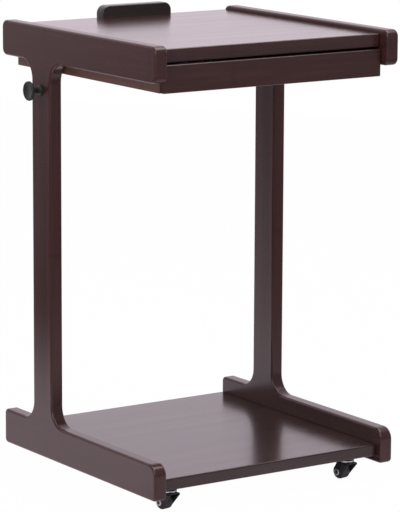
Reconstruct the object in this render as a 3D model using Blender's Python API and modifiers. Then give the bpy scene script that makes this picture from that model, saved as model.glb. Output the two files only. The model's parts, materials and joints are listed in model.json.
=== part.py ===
"""C-shaped end table on casters, with a drawer under its top and a hanging hook on one leg.

Two side frames of lacquered board, each a cheek, a leg and a base rail, hold the top board
and the base panel between them. Metres, +Z up, front at -Y. The origin is on the floor,
midway between the side frames and midway along the base rails.
"""
from math import atan2, cos, pi, radians, sin, tan

import bmesh
import bpy
from mathutils import Matrix, Vector

# Gap between pieces that touch or are pressed together
FIT = 0.0003
# Gap beside and below a piece that slides
RUNNING = 0.0005
# Length by which a cutting tool starts outside the piece it cuts
CUT_PAST = 0.002

# Side frames: cheek, leg and base rail of one board thickness
TABLE_WIDTH = 0.407
FRAME_DEPTH = 0.406
BOARD = 0.020
ROUND_OVER = 0.0035
LEG_WIDTH = 0.0505
LEG_LENGTH = 0.4635
LEG_TO_BACK = 0.0825
CHEEK_HEIGHT = 0.0505
CHEEK_CORNER = 0.010
RAIL_HEIGHT = 0.051
RAIL_CORNER = 0.0065
RAIL_NOSE = 0.017
FILLET = 0.028
FILLET_STRAIGHT = 0.002

# Top board, its back ledge and the base panel
TOP_THICKNESS = 0.019
TOP_RECESS = 0.006
TOP_SETBACK = 0.018
TOP_BACK_SETBACK = 0.003
PANEL_THICKNESS = 0.017
PANEL_ABOVE_RAIL = 0.010
PANEL_SETBACK = 0.011
PANEL_BACK_SETBACK = 0.001
PANEL_EDGE = 0.002
LEDGE_LENGTH = 0.120
LEDGE_HEIGHT = 0.0182
LEDGE_THICKNESS = 0.018
LEDGE_OFFSET = 0.0145
LEDGE_CORNER = 0.012
LEDGE_EDGE = 0.002
LEDGE_TONGUE_LENGTH = 0.090
LEDGE_TONGUE_THICKNESS = 0.007
LEDGE_TONGUE_DEPTH = 0.008

# Drawer box and the runners that carry it
DRAWER_HEIGHT = 0.0385
DRAWER_TOP_GAP = 0.0025
DRAWER_SIDE_GAP = 0.001
DRAWER_SETBACK = 0.013
DRAWER_BACK_SETBACK = 0.010
DRAWER_TRAVEL = 0.255
DRAWER_FRONT_THICKNESS = 0.015
DRAWER_SIDE_THICKNESS = 0.013
DRAWER_BACK_THICKNESS = 0.012
DRAWER_EDGE = 0.002
DRAWER_LIP_DROP = 0.001
DRAWER_RABBET = 0.006
DRAWER_DADO = 0.004
BOTTOM_THICKNESS = 0.0045
BOTTOM_LIFT = 0.006
BOTTOM_GROOVE = 0.004
RUNNER_HEIGHT = 0.010
RUNNER_DEPTH = 0.0065
RUNNER_LET_IN = 0.003
RUNNER_LIFT = 0.0225
RUNNER_START = 0.022
RUNNER_LENGTH = 0.330
CLEAT_LENGTH = 0.060
CLEAT_DEPTH = 0.012
CLEAT_HEIGHT = 0.0095

# Turned hook on the outside of the left leg
HOOK_BELOW_SEAM = 0.010
HOOK_DISC_RADIUS = 0.0139
HOOK_DISC_THICKNESS = 0.0044
HOOK_DISC_EDGE = 0.0016
HOOK_REACH = 0.017
HOOK_STEM_RADIUS = 0.0034
HOOK_STUD_RADIUS = 0.0026
HOOK_STUD_LENGTH = 0.013
FLANGE_RADIUS = 0.0080
FLANGE_NECK_RADIUS = 0.0052
FLANGE_HEIGHT = 0.0065
FLANGE_LIP = 0.0016

# Casters
WHEEL_DIAMETER = 0.0212
TYRE_WIDTH = 0.0150
TYRE_SHOULDER = 0.0025
HUB_RADIUS = 0.0056
HUB_RIM = 0.0012
HUB_BOSS_RADIUS = 0.0034
HUB_RECESS = 0.0010
HUB_PROUD = 0.0003
CASTER_TRAIL = 0.010
CASTER_FROM_RAIL = 0.0305
CASTER_FROM_EDGE = 0.030
FRONT_LEFT_TURN = 10
FRONT_RIGHT_TURN = 10
BACK_LEFT_TURN = -90
BACK_RIGHT_TURN = 90
FORK_SHEET = 0.0016
FORK_SIDE_GAP = 0.0005
FORK_CROWN_GAP = 0.0034
FORK_BEND = 0.0015
FORK_CROWN_LENGTH = 0.023
FORK_EYE_RADIUS = 0.0056
AXLE_RADIUS = 0.0020
AXLE_HEAD_RADIUS = 0.0050
AXLE_HEAD_HEIGHT = 0.0012
AXLE_DIMPLE_RADIUS = 0.0027
AXLE_DIMPLE_DEPTH = 0.0008
KINGPIN_RADIUS = 0.0030
KINGPIN_HEAD_RADIUS = 0.0046
KINGPIN_HEAD_HEIGHT = 0.0012
PLATE_SIZE = 0.036
PLATE_THICKNESS = 0.002
PLATE_CORNER = 0.004
PLATE_SCREW_SPACING = 0.027
PLATE_SCREW_RADIUS = 0.0019
PLATE_SINK_RADIUS = 0.0035
CUP_RADIUS = 0.0108
CUP_DEPTH = 0.0082
CUP_RING_HEIGHT = 0.0030
CUP_RING_EDGE = 0.0008
CUP_NECK_RADIUS = 0.0065

# Dowels in the side frames and at the ends of the top board and the base panel
FRAME_DOWEL_RADIUS = 0.004
FRAME_DOWEL_LENGTH = 0.040
FRAME_DOWEL_SPACING = 0.024
PANEL_DOWEL_RADIUS = 0.004
PANEL_DOWEL_LENGTH = 0.032
PANEL_DOWEL_IN_FRAME = 0.012
PANEL_DOWEL_INSET = 0.060

# Faces on round pieces
WHEEL_STEPS = 16
HOOK_STEPS = 24
PIN_STEPS = 12
SCREW_HOLE_STEPS = 8
ARC_STEPS = 5

# Heights, stacked up from the floor
AXLE_Z = WHEEL_DIAMETER / 2
CROWN_BOTTOM = WHEEL_DIAMETER + FORK_CROWN_GAP
CROWN_TOP = CROWN_BOTTOM + FORK_SHEET
CUP_BOTTOM = CROWN_TOP + FIT
PLATE_BOTTOM = CUP_BOTTOM + CUP_DEPTH
PLATE_TOP = PLATE_BOTTOM + PLATE_THICKNESS
PANEL_BOTTOM = PLATE_TOP + FIT
PANEL_TOP = PANEL_BOTTOM + PANEL_THICKNESS
RAIL_BOTTOM = PANEL_BOTTOM - PANEL_ABOVE_RAIL
RAIL_TOP = RAIL_BOTTOM + RAIL_HEIGHT
FOOT_SEAM = RAIL_TOP + FILLET + FILLET_STRAIGHT
NECK_SEAM = FOOT_SEAM + LEG_LENGTH
CHEEK_BOTTOM = NECK_SEAM + FILLET_STRAIGHT + FILLET
CHEEK_TOP = CHEEK_BOTTOM + CHEEK_HEIGHT
TOP_SURFACE = CHEEK_TOP - TOP_RECESS
TOP_UNDERSIDE = TOP_SURFACE - TOP_THICKNESS
DRAWER_TOP = TOP_UNDERSIDE - DRAWER_TOP_GAP
DRAWER_BOTTOM = DRAWER_TOP - DRAWER_HEIGHT
RUNNER_BOTTOM = DRAWER_BOTTOM + RUNNER_LIFT
RUNNER_TOP = RUNNER_BOTTOM + RUNNER_HEIGHT
HOOK_Z = NECK_SEAM - HOOK_BELOW_SEAM

# Places across the width and along the depth
OUTER_X = TABLE_WIDTH / 2
INNER_X = OUTER_X - BOARD
BOARD_X = OUTER_X - BOARD / 2
FRONT_Y = -FRAME_DEPTH / 2
BACK_Y = FRAME_DEPTH / 2
LEG_BACK_Y = BACK_Y - LEG_TO_BACK
LEG_FRONT_Y = LEG_BACK_Y - LEG_WIDTH
LEG_Y = (LEG_FRONT_Y + LEG_BACK_Y) / 2
TOP_FRONT_Y = FRONT_Y + TOP_SETBACK
TOP_BACK_Y = BACK_Y - TOP_BACK_SETBACK
PANEL_FRONT_Y = FRONT_Y + PANEL_SETBACK
PANEL_BACK_Y = BACK_Y - PANEL_BACK_SETBACK
DRAWER_FRONT_Y = FRONT_Y + DRAWER_SETBACK
DRAWER_BACK_Y = BACK_Y - DRAWER_BACK_SETBACK
DRAWER_INSIDE_FRONT_Y = DRAWER_FRONT_Y + DRAWER_FRONT_THICKNESS
DRAWER_INSIDE_BACK_Y = DRAWER_BACK_Y - DRAWER_BACK_THICKNESS
DRAWER_OUTER_X = INNER_X - DRAWER_SIDE_GAP
DRAWER_INNER_X = DRAWER_OUTER_X - DRAWER_SIDE_THICKNESS
RUNNER_FRONT_Y = DRAWER_INSIDE_FRONT_Y + RUNNER_START
RUNNER_OUTER_X = INNER_X + RUNNER_LET_IN
RUNNER_INNER_X = INNER_X - RUNNER_DEPTH
CASTER_X = INNER_X - CASTER_FROM_RAIL
HUB_HALF_WIDTH = TYRE_WIDTH / 2 + HUB_PROUD
FORK_INNER_X = HUB_HALF_WIDTH + FORK_SIDE_GAP
FORK_OUTER_X = FORK_INNER_X + FORK_SHEET

SIDES = {"left": -1, "right": 1}
X_AXIS = Vector((1, 0, 0))
Z_AXIS = Vector((0, 0, 1))

# Turns that stand a flat outline, drawn in XY, up in the YZ or the XZ plane
STAND_YZ = Matrix(((0, 0, 1), (1, 0, 0), (0, 1, 0))).to_4x4()
STAND_XZ = Matrix(((1, 0, 0), (0, 0, -1), (0, 1, 0))).to_4x4()

for leftover in list(bpy.data.objects):
    bpy.data.objects.remove(leftover)
PARTS = bpy.data.collections.new("c_shaped_end_table")
CUTTERS = bpy.data.collections.new("cutters")
for collection in (PARTS, CUTTERS):
    bpy.context.scene.collection.children.link(collection)


# Materials

def material(name, srgb, roughness, metallic=0.0):
    """Principled material from an sRGB colour of three values from 0 to 255."""
    made = bpy.data.materials.new(name)
    made.use_nodes = True
    shader = made.node_tree.nodes["Principled BSDF"]
    colour = [((value / 255 + 0.055) / 1.055) ** 2.4 for value in srgb]
    shader.inputs["Base Color"].default_value = (*colour, 1.0)
    shader.inputs["Roughness"].default_value = roughness
    shader.inputs["Metallic"].default_value = metallic
    return made


LACQUER = material("espresso_lacquered_bamboo", (72, 48, 45), 0.28)
DRAWER_WOOD = material("stained_drawer_board", (84, 58, 50), 0.45)
RAW_WOOD = material("raw_beech_dowel", (196, 160, 116), 0.7)
BLACK_METAL = material("black_coated_metal", (38, 39, 38), 0.4, 0.6)
ZINC = material("zinc_plated_steel", (200, 202, 204), 0.3, 1.0)
RUBBER = material("black_rubber", (34, 34, 35), 0.75)
HUB_METAL = material("silver_hub", (176, 178, 180), 0.35, 0.6)


# Shape helpers

def link(made, coat=None, parent=None, cutter=False):
    """Put an object in its collection, with its material or as a hidden cutting tool."""
    (CUTTERS if cutter else PARTS).objects.link(made)
    if cutter:
        made.hide_render = True
        made.display_type = "WIRE"
    elif coat:
        made.data.materials.append(coat)
    made.parent = parent
    return made


def pivot(name, place):
    """Empty that carries the pieces of one moving group."""
    made = bpy.data.objects.new(name, None)
    made.matrix_local = place
    return link(made)


def aim(point, direction):
    """Matrix that moves +Z onto a direction at a point."""
    return Matrix.Translation(point) @ direction.to_track_quat("Z", "Y").to_matrix().to_4x4()


def box(name, low, high, coat=None, parent=None, edge=0.0, cutter=False):
    """Block between two corners of the table, with its edges rounded."""
    low = Vector(low)
    high = Vector(high)
    size = high - low
    mesh = bpy.data.meshes.new(name)
    shape = bmesh.new()
    bmesh.ops.create_cube(shape, size=1.0, matrix=Matrix.Diagonal((*size, 1.0)))
    shape.to_mesh(mesh)
    shape.free()
    made = link(bpy.data.objects.new(name, mesh), coat, parent, cutter)
    made.location = (low + high) / 2 - (parent.location if parent else Vector())
    if edge:
        rounding = made.modifiers.new("rounded_edges", "BEVEL")
        rounding.width = edge
        rounding.segments = 2
    return made


def rounded(corners):
    """Points of an outline whose corners (u, v, radius) are turned into arcs."""
    points = []
    for index, (u, v, radius) in enumerate(corners):
        corner = Vector((u, v))
        if radius == 0:
            points.append(corner)
            continue
        back = (Vector(corners[index - 1][:2]) - corner).normalized()
        ahead = (Vector(corners[(index + 1) % len(corners)][:2]) - corner).normalized()
        half = back.angle(ahead) / 2
        centre = corner + (back + ahead).normalized() * radius / sin(half)
        start = corner + back * radius / tan(half) - centre
        end = corner + ahead * radius / tan(half) - centre
        first = atan2(start.y, start.x)
        turn = (atan2(end.y, end.x) - first + pi) % (2 * pi) - pi
        for step in range(ARC_STEPS + 1):
            angle = first + turn * step / ARC_STEPS
            points.append(centre + radius * Vector((cos(angle), sin(angle))))
    return points


def slab(name, corners, thickness, place, coat=None, parent=None, cutter=False):
    """Flat outline with rounded corners, extruded to a thickness and placed by a matrix."""
    curve = bpy.data.curves.new(name, "CURVE")
    curve.dimensions = "2D"
    curve.fill_mode = "BOTH"
    curve.extrude = thickness / 2
    points = rounded(corners)
    spline = curve.splines.new("POLY")
    spline.points.add(len(points) - 1)
    for target, point in zip(spline.points, points):
        target.co = (point.x, point.y, 0.0, 1.0)
    spline.use_cyclic_u = True
    drawn = bpy.data.objects.new(name + "_outline", curve)
    CUTTERS.objects.link(drawn)
    mesh = bpy.data.meshes.new_from_object(drawn.evaluated_get(bpy.context.evaluated_depsgraph_get()))
    bpy.data.objects.remove(drawn)
    shape = bmesh.new()
    shape.from_mesh(mesh)
    bmesh.ops.remove_doubles(shape, verts=shape.verts, dist=FIT / 100)
    for upper in (False, True):
        cap = [face for face in shape.faces if all((vertex.co.z > 0) == upper for vertex in face.verts)]
        bmesh.ops.dissolve_faces(shape, faces=cap)
    bmesh.ops.recalc_face_normals(shape, faces=shape.faces)
    shape.to_mesh(mesh)
    shape.free()
    made = link(bpy.data.objects.new(name, mesh), coat, parent, cutter)
    made.matrix_local = place
    return made


def round_over(board, width, plain_levels):
    """Round the long edges of a slab, but not those on a joint face at a plain level."""
    shape = bmesh.new()
    shape.from_mesh(board.data)
    weight = shape.edges.layers.float.new("bevel_weight_edge")
    for edge in shape.edges:
        first, second = (vertex.co for vertex in edge.verts)
        on_face = abs(first.z - second.z) < FIT
        on_joint = any(abs(first.y - level) < FIT and abs(second.y - level) < FIT for level in plain_levels)
        if on_face and not on_joint:
            edge[weight] = 1.0
    shape.to_mesh(board.data)
    shape.free()
    rounding = board.modifiers.new("round_over", "BEVEL")
    rounding.limit_method = "WEIGHT"
    rounding.width = width
    rounding.segments = 3


def turned_mesh(name, profile, steps, ring=False):
    """Profile (radius, height), listed down its outer side, turned about +Z."""
    mesh = bpy.data.meshes.new(name)
    count = len(profile)
    edges = [(index, index + 1) for index in range(count - 1)]
    if ring:
        edges.append((count - 1, 0))
    mesh.from_pydata([(radius, 0.0, height) for radius, height in profile], edges, [])
    lathe = bpy.data.objects.new(name + "_lathe", mesh)
    CUTTERS.objects.link(lathe)
    screw = lathe.modifiers.new("lathe", "SCREW")
    screw.steps = steps
    screw.render_steps = steps
    screw.use_merge_vertices = True
    screw.merge_threshold = 0.00001
    made = bpy.data.meshes.new_from_object(lathe.evaluated_get(bpy.context.evaluated_depsgraph_get()))
    bpy.data.objects.remove(lathe)
    made.name = name
    made.shade_smooth()
    made.set_sharp_from_angle(angle=radians(35))
    return made


def turned(name, profile, steps, place, coat=None, parent=None, ring=False):
    """One turned piece, its axis moved from +Z by a matrix."""
    made = link(bpy.data.objects.new(name, turned_mesh(name, profile, steps, ring)), coat, parent)
    made.matrix_local = place
    return made


def tool(name, mesh, places):
    """Cutting tool that holds a copy of a mesh at each place."""
    shape = bmesh.new()
    for place in places:
        copied = mesh.copy()
        copied.transform(place)
        shape.from_mesh(copied)
        bpy.data.meshes.remove(copied)
    joined = bpy.data.meshes.new(name)
    shape.to_mesh(joined)
    shape.free()
    return link(bpy.data.objects.new(name, joined), cutter=True)


def boolean(target, other, operation="DIFFERENCE"):
    """Cut a piece with a tool, join the tool to it, or keep what both share."""
    cut = target.modifiers.new(other.name, "BOOLEAN")
    cut.object = other
    cut.operation = operation
    cut.solver = "EXACT"


def peg_profile(radius, length, gap=0.0):
    """Plain round peg about its middle."""
    half = length / 2 + gap
    return [(0.0, half), (radius + gap, half), (radius + gap, -half), (0.0, -half)]


def dowels(places, radius, length, boards):
    """Wooden dowels by name and place, and their holes in the boards that they join."""
    for name, place in places.items():
        turned(name, peg_profile(radius, length), PIN_STEPS, place, RAW_WOOD)
    hole = turned_mesh("dowel_hole", peg_profile(radius, length, FIT), PIN_STEPS)
    holes = tool("dowel_holes", hole, places.values())
    for board in boards:
        boolean(board, holes)


# Side frames: a cheek, a leg and a base rail in one plane, doweled end to end

def cheek(name, side):
    """Upper rail beside the top, its neck flared into the leg."""
    corners = [
        (FRONT_Y, CHEEK_BOTTOM, CHEEK_CORNER), (LEG_FRONT_Y, CHEEK_BOTTOM, FILLET),
        (LEG_FRONT_Y, NECK_SEAM, 0), (LEG_BACK_Y, NECK_SEAM, 0),
        (LEG_BACK_Y, CHEEK_BOTTOM, FILLET), (BACK_Y, CHEEK_BOTTOM, CHEEK_CORNER),
        (BACK_Y, CHEEK_TOP, CHEEK_CORNER), (FRONT_Y, CHEEK_TOP, CHEEK_CORNER),
    ]
    made = slab(name, corners, BOARD, Matrix.Translation((side * BOARD_X, 0, 0)) @ STAND_YZ, LACQUER)
    round_over(made, ROUND_OVER, [NECK_SEAM])
    return made


def base_rail(name, side):
    """Floor rail, its foot flared into the leg and its front end rounded off at the top."""
    corners = [
        (FRONT_Y, RAIL_BOTTOM, RAIL_CORNER), (BACK_Y, RAIL_BOTTOM, RAIL_CORNER),
        (BACK_Y, RAIL_TOP, RAIL_CORNER), (LEG_BACK_Y, RAIL_TOP, FILLET),
        (LEG_BACK_Y, FOOT_SEAM, 0), (LEG_FRONT_Y, FOOT_SEAM, 0),
        (LEG_FRONT_Y, RAIL_TOP, FILLET), (FRONT_Y, RAIL_TOP, RAIL_NOSE),
    ]
    made = slab(name, corners, BOARD, Matrix.Translation((side * BOARD_X, 0, 0)) @ STAND_YZ, LACQUER)
    round_over(made, ROUND_OVER, [FOOT_SEAM])
    return made


def leg(name, side):
    """Upright between the foot and the neck, rounded along its four long edges."""
    low = FOOT_SEAM + FIT
    high = NECK_SEAM - FIT
    corners = [(LEG_FRONT_Y, low, 0), (LEG_BACK_Y, low, 0), (LEG_BACK_Y, high, 0), (LEG_FRONT_Y, high, 0)]
    made = slab(name, corners, BOARD, Matrix.Translation((side * BOARD_X, 0, 0)) @ STAND_YZ, LACQUER)
    round_over(made, ROUND_OVER, [low, high])
    return made


cheeks = {name: cheek(f"{name}_cheek", side) for name, side in SIDES.items()}
legs = {name: leg(f"{name}_leg", side) for name, side in SIDES.items()}
base_rails = {name: base_rail(f"{name}_base_rail", side) for name, side in SIDES.items()}

frame_dowel_places = {
    f"{name}_{joint}_dowel_{row}": aim(Vector((side * BOARD_X, LEG_Y + offset, seam)), Z_AXIS)
    for name, side in SIDES.items()
    for joint, seam in (("foot", FOOT_SEAM), ("neck", NECK_SEAM))
    for row, offset in (("front", -FRAME_DOWEL_SPACING / 2), ("back", FRAME_DOWEL_SPACING / 2))
}
frame_boards = (*cheeks.values(), *legs.values(), *base_rails.values())
dowels(frame_dowel_places, FRAME_DOWEL_RADIUS, FRAME_DOWEL_LENGTH, frame_boards)


# Top board and base panel, doweled between the side frames

panel_x = INNER_X - FIT
top_low = (-panel_x, TOP_FRONT_Y, TOP_UNDERSIDE)
top_high = (panel_x, TOP_BACK_Y, TOP_SURFACE)
top_board = box("top_board", top_low, top_high, LACQUER, edge=PANEL_EDGE)
panel_low = (-panel_x, PANEL_FRONT_Y, PANEL_BOTTOM)
panel_high = (panel_x, PANEL_BACK_Y, PANEL_TOP)
base_panel = box("base_panel", panel_low, panel_high, LACQUER, edge=PANEL_EDGE)

panel_dowel_x = INNER_X + PANEL_DOWEL_IN_FRAME - PANEL_DOWEL_LENGTH / 2
panel_dowel_rows = {
    "top_dowel_front": (TOP_FRONT_Y + PANEL_DOWEL_INSET, (TOP_UNDERSIDE + TOP_SURFACE) / 2),
    "top_dowel_back": (TOP_BACK_Y - PANEL_DOWEL_INSET, (TOP_UNDERSIDE + TOP_SURFACE) / 2),
    "base_dowel_front": (PANEL_FRONT_Y + PANEL_DOWEL_INSET, (PANEL_BOTTOM + PANEL_TOP) / 2),
    "base_dowel_back": (PANEL_BACK_Y - PANEL_DOWEL_INSET, (PANEL_BOTTOM + PANEL_TOP) / 2),
}
panel_dowel_places = {
    f"{name}_{row}": aim(Vector((side * panel_dowel_x, y, z)), X_AXIS)
    for name, side in SIDES.items()
    for row, (y, z) in panel_dowel_rows.items()
}
panel_boards = (top_board, base_panel, *cheeks.values(), *base_rails.values())
dowels(panel_dowel_places, PANEL_DOWEL_RADIUS, PANEL_DOWEL_LENGTH, panel_boards)


# Back ledge: a low stop on the back edge of the top, with a tongue let into a groove there

ledge_y = TOP_BACK_Y - LEDGE_THICKNESS / 2
ledge_bottom = TOP_SURFACE + FIT
ledge_corners = [
    (-LEDGE_LENGTH / 2, 0.0, 0), (LEDGE_LENGTH / 2, 0.0, 0),
    (LEDGE_LENGTH / 2, LEDGE_HEIGHT, LEDGE_CORNER), (-LEDGE_LENGTH / 2, LEDGE_HEIGHT, LEDGE_CORNER),
]
ledge_place = Matrix.Translation((LEDGE_OFFSET, ledge_y, ledge_bottom)) @ STAND_XZ
back_ledge = slab("back_ledge", ledge_corners, LEDGE_THICKNESS, ledge_place, LACQUER)
round_over(back_ledge, LEDGE_EDGE, [0.0])
tongue_half = Vector((LEDGE_TONGUE_LENGTH / 2, LEDGE_TONGUE_THICKNESS / 2, LEDGE_TONGUE_DEPTH))
tongue_middle = Vector((LEDGE_OFFSET, ledge_y, ledge_bottom))
tongue = box("ledge_tongue", tongue_middle - tongue_half, tongue_middle + tongue_half, cutter=True)
boolean(back_ledge, tongue, "UNION")
groove_half = tongue_half + Vector((FIT, FIT, FIT))
ledge_groove = box("ledge_groove", tongue_middle - groove_half, tongue_middle + groove_half, cutter=True)
boolean(top_board, ledge_groove)


# Drawer runners let into the inner faces of the cheeks, and the cleat that stops the drawer

def span(side, inner, outer):
    """Lower and upper X of something between two distances from the middle, on one side."""
    return sorted((side * inner, side * outer))


spare = Vector((FIT, FIT, FIT))
for name, side in SIDES.items():
    low_x, high_x = span(side, RUNNER_INNER_X, RUNNER_OUTER_X)
    runner_low = Vector((low_x, RUNNER_FRONT_Y, RUNNER_BOTTOM))
    runner_high = Vector((high_x, RUNNER_FRONT_Y + RUNNER_LENGTH, RUNNER_TOP))
    box(f"{name}_runner", runner_low, runner_high, DRAWER_WOOD)
    seat = box(f"{name}_runner_seat", runner_low - spare, runner_high + spare, cutter=True)
    boolean(cheeks[name], seat)

cleat_back_y = DRAWER_INSIDE_BACK_Y - DRAWER_TRAVEL - FIT
cleat_top = TOP_UNDERSIDE - FIT
cleat_low = (-CLEAT_LENGTH / 2, cleat_back_y - CLEAT_DEPTH, cleat_top - CLEAT_HEIGHT)
cleat_high = (CLEAT_LENGTH / 2, cleat_back_y, cleat_top)
box("stop_cleat", cleat_low, cleat_high, DRAWER_WOOD)


# Drawer: a rabbeted front, two grooved sides, a back in dadoes and a bottom in grooves

drawer = pivot("drawer", Matrix.Translation((0, DRAWER_FRONT_Y, DRAWER_BOTTOM)))
side_top = DRAWER_TOP - DRAWER_LIP_DROP
front_low = (-DRAWER_OUTER_X, DRAWER_FRONT_Y, DRAWER_BOTTOM)
front_high = (DRAWER_OUTER_X, DRAWER_INSIDE_FRONT_Y, DRAWER_TOP)
drawer_front = box("drawer_front", front_low, front_high, LACQUER, drawer, edge=DRAWER_EDGE)

back_x = DRAWER_INNER_X + DRAWER_DADO
back_low = Vector((-back_x, DRAWER_INSIDE_BACK_Y, DRAWER_BOTTOM))
back_high = Vector((back_x, DRAWER_BACK_Y - DRAWER_LIP_DROP, side_top))
drawer_back = box("drawer_back", back_low, back_high, LACQUER, drawer)
past_ends = Vector((0, 0, CUT_PAST))
back_dado = box("drawer_back_dado", back_low - spare - past_ends, back_high + spare + past_ends, cutter=True)

inside_x = DRAWER_INNER_X + BOTTOM_GROOVE
bottom_z = DRAWER_BOTTOM + BOTTOM_LIFT
bottom_low = Vector((-inside_x, DRAWER_INSIDE_FRONT_Y - BOTTOM_GROOVE, bottom_z))
bottom_high = Vector((inside_x, DRAWER_INSIDE_BACK_Y + BOTTOM_GROOVE, bottom_z + BOTTOM_THICKNESS))
box("drawer_bottom", bottom_low, bottom_high, DRAWER_WOOD, drawer)
bottom_groove = box("drawer_bottom_groove", bottom_low - spare, bottom_high + spare, cutter=True)
boolean(drawer_back, bottom_groove)

rabbet_y = DRAWER_INSIDE_FRONT_Y - DRAWER_RABBET
for name, side in SIDES.items():
    low_x, high_x = span(side, DRAWER_INNER_X, DRAWER_OUTER_X)
    side_low = (low_x, rabbet_y + FIT, DRAWER_BOTTOM)
    side_high = (high_x, DRAWER_BACK_Y, side_top)
    drawer_side = box(f"drawer_{name}_side", side_low, side_high, LACQUER, drawer)
    boolean(drawer_side, back_dado)
    boolean(drawer_side, bottom_groove)
    low_x, high_x = span(side, RUNNER_INNER_X - RUNNING, INNER_X + CUT_PAST)
    groove_low = (low_x, RUNNER_FRONT_Y - FIT, RUNNER_BOTTOM - RUNNING)
    groove_high = (high_x, DRAWER_BACK_Y + CUT_PAST, RUNNER_TOP + FIT)
    boolean(drawer_side, box(f"{name}_runner_groove", groove_low, groove_high, cutter=True))
    low_x, high_x = span(side, DRAWER_INNER_X - FIT, DRAWER_OUTER_X + CUT_PAST)
    rabbet_low = (low_x, rabbet_y, DRAWER_BOTTOM - CUT_PAST)
    rabbet_high = (high_x, DRAWER_INSIDE_FRONT_Y + CUT_PAST, DRAWER_TOP + CUT_PAST)
    boolean(drawer_front, box(f"{name}_front_rabbet", rabbet_low, rabbet_high, cutter=True))
boolean(drawer_front, bottom_groove)


# Hanging hook: a turned peg with a disc end, screwed through a bell-shaped flange into the left leg

hook_place = aim(Vector((-OUTER_X, LEG_Y, HOOK_Z)), -X_AXIS)
disc_end = HOOK_REACH + HOOK_DISC_THICKNESS
disc_rim = HOOK_DISC_RADIUS - HOOK_DISC_EDGE
flange_base = FIT
flange_top = flange_base + FLANGE_HEIGHT


def quarter_arc(radius, height, size, start):
    """Four points of a quarter circle about (radius, height), starting at an angle in degrees."""
    steps = 3
    angles = [radians(start - 90 * step / steps) for step in range(steps + 1)]
    return [(radius + size * cos(angle), height + size * sin(angle)) for angle in angles]


hook_profile = [
    (0.0, disc_end),
    *quarter_arc(disc_rim, disc_end - HOOK_DISC_EDGE, HOOK_DISC_EDGE, 90),
    *quarter_arc(disc_rim, HOOK_REACH + HOOK_DISC_EDGE, HOOK_DISC_EDGE, 0),
    (HOOK_STEM_RADIUS, HOOK_REACH),
    (HOOK_STEM_RADIUS, flange_base),
    (HOOK_STUD_RADIUS, flange_base),
    (HOOK_STUD_RADIUS, -HOOK_STUD_LENGTH),
    (0.0, -HOOK_STUD_LENGTH),
]
turned("hook_peg", hook_profile, HOOK_STEPS, hook_place, BLACK_METAL)
flange_bore = HOOK_STEM_RADIUS + FIT
flange_profile = [
    (flange_bore, flange_top),
    (FLANGE_NECK_RADIUS, flange_top),
    (FLANGE_NECK_RADIUS, (flange_top + flange_base + FLANGE_LIP) / 2),
    (FLANGE_RADIUS, flange_base + FLANGE_LIP),
    (FLANGE_RADIUS, flange_base),
    (flange_bore, flange_base),
]
turned("hook_flange", flange_profile, HOOK_STEPS, hook_place, BLACK_METAL, ring=True)
stud_hole_profile = [
    (0.0, CUT_PAST), (HOOK_STUD_RADIUS + FIT, CUT_PAST),
    (HOOK_STUD_RADIUS + FIT, -HOOK_STUD_LENGTH - FIT), (0.0, -HOOK_STUD_LENGTH - FIT),
]
stud_hole = turned_mesh("hook_stud_hole", stud_hole_profile, PIN_STEPS)
boolean(legs["left"], tool("hook_stud_hole", stud_hole, [hook_place]))


# Casters: a screwed plate with a bearing cup, a fork on a riveted kingpin, and a wheel on a riveted axle

def caster_plate(name, place):
    """Square plate with round corners and, on a neck below it, the ring of the swivel bearing."""
    half = PLATE_SIZE / 2
    corners = [(-half, -half, PLATE_CORNER), (half, -half, PLATE_CORNER), (half, half, PLATE_CORNER)]
    corners.append((-half, half, PLATE_CORNER))
    level = Matrix.Translation((0, 0, (PLATE_BOTTOM + PLATE_TOP) / 2))
    plate = slab(f"{name}_plate", corners, PLATE_THICKNESS, place @ level, ZINC)
    mid_plate = PLATE_BOTTOM + PLATE_THICKNESS / 2
    ring_top = CUP_BOTTOM + CUP_RING_HEIGHT
    cup_profile = [
        (0.0, mid_plate), (CUP_NECK_RADIUS, mid_plate), (CUP_NECK_RADIUS, ring_top),
        (CUP_RADIUS, ring_top), (CUP_RADIUS, CUP_BOTTOM + CUP_RING_EDGE),
        (CUP_RADIUS - CUP_RING_EDGE, CUP_BOTTOM), (0.0, CUP_BOTTOM),
    ]
    cup = turned_mesh(f"{name}_cup", cup_profile, WHEEL_STEPS)
    boolean(plate, tool(f"{name}_cup", cup, [place]), "UNION")
    pin_hole_profile = [
        (0.0, PLATE_TOP + CUT_PAST), (KINGPIN_HEAD_RADIUS + FIT, PLATE_TOP + CUT_PAST),
        (KINGPIN_HEAD_RADIUS + FIT, PLATE_TOP - KINGPIN_HEAD_HEIGHT - FIT),
        (KINGPIN_RADIUS + FIT, PLATE_TOP - KINGPIN_HEAD_HEIGHT - FIT),
        (KINGPIN_RADIUS + FIT, CROWN_BOTTOM - CUT_PAST), (0.0, CROWN_BOTTOM - CUT_PAST),
    ]
    pin_hole = turned_mesh(f"{name}_pin_hole", pin_hole_profile, PIN_STEPS)
    pin_tool = tool(f"{name}_pin_hole", pin_hole, [place])
    boolean(plate, pin_tool)
    screw_hole_profile = [
        (0.0, PLATE_THICKNESS + CUT_PAST), (PLATE_SCREW_RADIUS, PLATE_THICKNESS + CUT_PAST),
        (PLATE_SCREW_RADIUS, PLATE_SINK_RADIUS - PLATE_SCREW_RADIUS), (PLATE_SINK_RADIUS, 0.0),
        (PLATE_SINK_RADIUS, -CUP_DEPTH), (0.0, -CUP_DEPTH),
    ]
    screw_hole = turned_mesh(f"{name}_screw_hole", screw_hole_profile, SCREW_HOLE_STEPS)
    reach = PLATE_SCREW_SPACING / 2
    spots = [
        place @ Matrix.Translation((x, y, PLATE_BOTTOM)) for x in (-reach, reach) for y in (-reach, reach)
    ]
    boolean(plate, tool(f"{name}_screw_holes", screw_hole, spots))
    return pin_tool


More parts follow.
